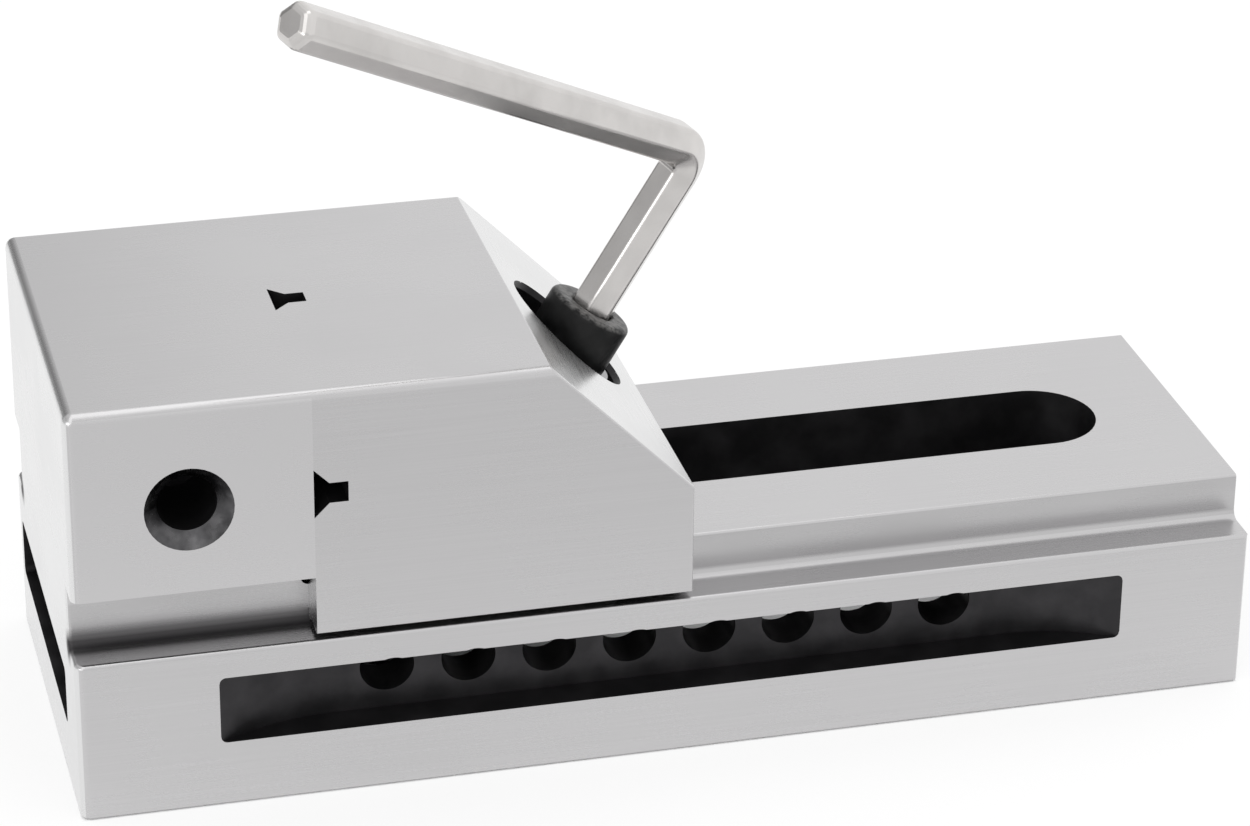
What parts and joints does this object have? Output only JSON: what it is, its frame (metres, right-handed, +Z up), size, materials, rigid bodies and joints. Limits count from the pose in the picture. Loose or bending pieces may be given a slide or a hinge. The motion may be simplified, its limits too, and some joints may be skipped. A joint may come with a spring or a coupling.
{
  "type": "toolmakers vise",
  "caption": "Low ground-steel precision vise with a fixed jaw, a sliding jaw over a raised rail, and a leaning socket screw that draws the jaw down from notches under the rail.",
  "frame": {"origin": "centre of the base's underside", "axes": "+X along the rail, away from the fixed jaw; +Y across, away from the side with the work stop hole; +Z up"},
  "size_m": [0.175, 0.0765, 0.1257],
  "materials": {
    "ground_steel": "finely ground",
    "turned_steel": "turned",
    "black_oxide": "black oxide, slightly worn",
    "bright_key": "bright nickel plate"
  },
  "bodies": {
    "body": {"vise_body": "ground_steel"},
    "jaw": {"moving_jaw": "ground_steel"},
    "lean": {"spherical_washer": "turned_steel"},
    "screw": {"clamp_screw": "black_oxide", "hex_key": "bright_key"},
    "nut": {"draw_nut": "turned_steel"}
  },
  "joints": [
    {"name": "jaw_slide", "type": "slide", "parent": "body", "child": "jaw", "axis": [1, 0, 0], "range_m": [0, 0.084]},
    {"name": "screw_lean", "type": "hinge", "parent": "jaw", "child": "lean", "pos_m": [-0.0054, 0, 0.0579], "axis": [0, 1, 0], "range_deg": [0, 10.13]},
    {"name": "screw_turn", "type": "hinge", "parent": "lean", "child": "screw", "pos_m": [-0.0054, 0, 0.0579], "axis": [-0.5255, 0, -0.8508], "range_deg": [0, 1800]},
    {"name": "nut_draw", "type": "slide", "parent": "lean", "child": "nut", "axis": [0.5255, 0, 0.8508], "range_m": [0, 0.00625]}
  ],
  "couplings": [
    {"joint": "nut_draw", "follows": "screw_turn", "m_per_rad": 0.00019894}
  ]
}
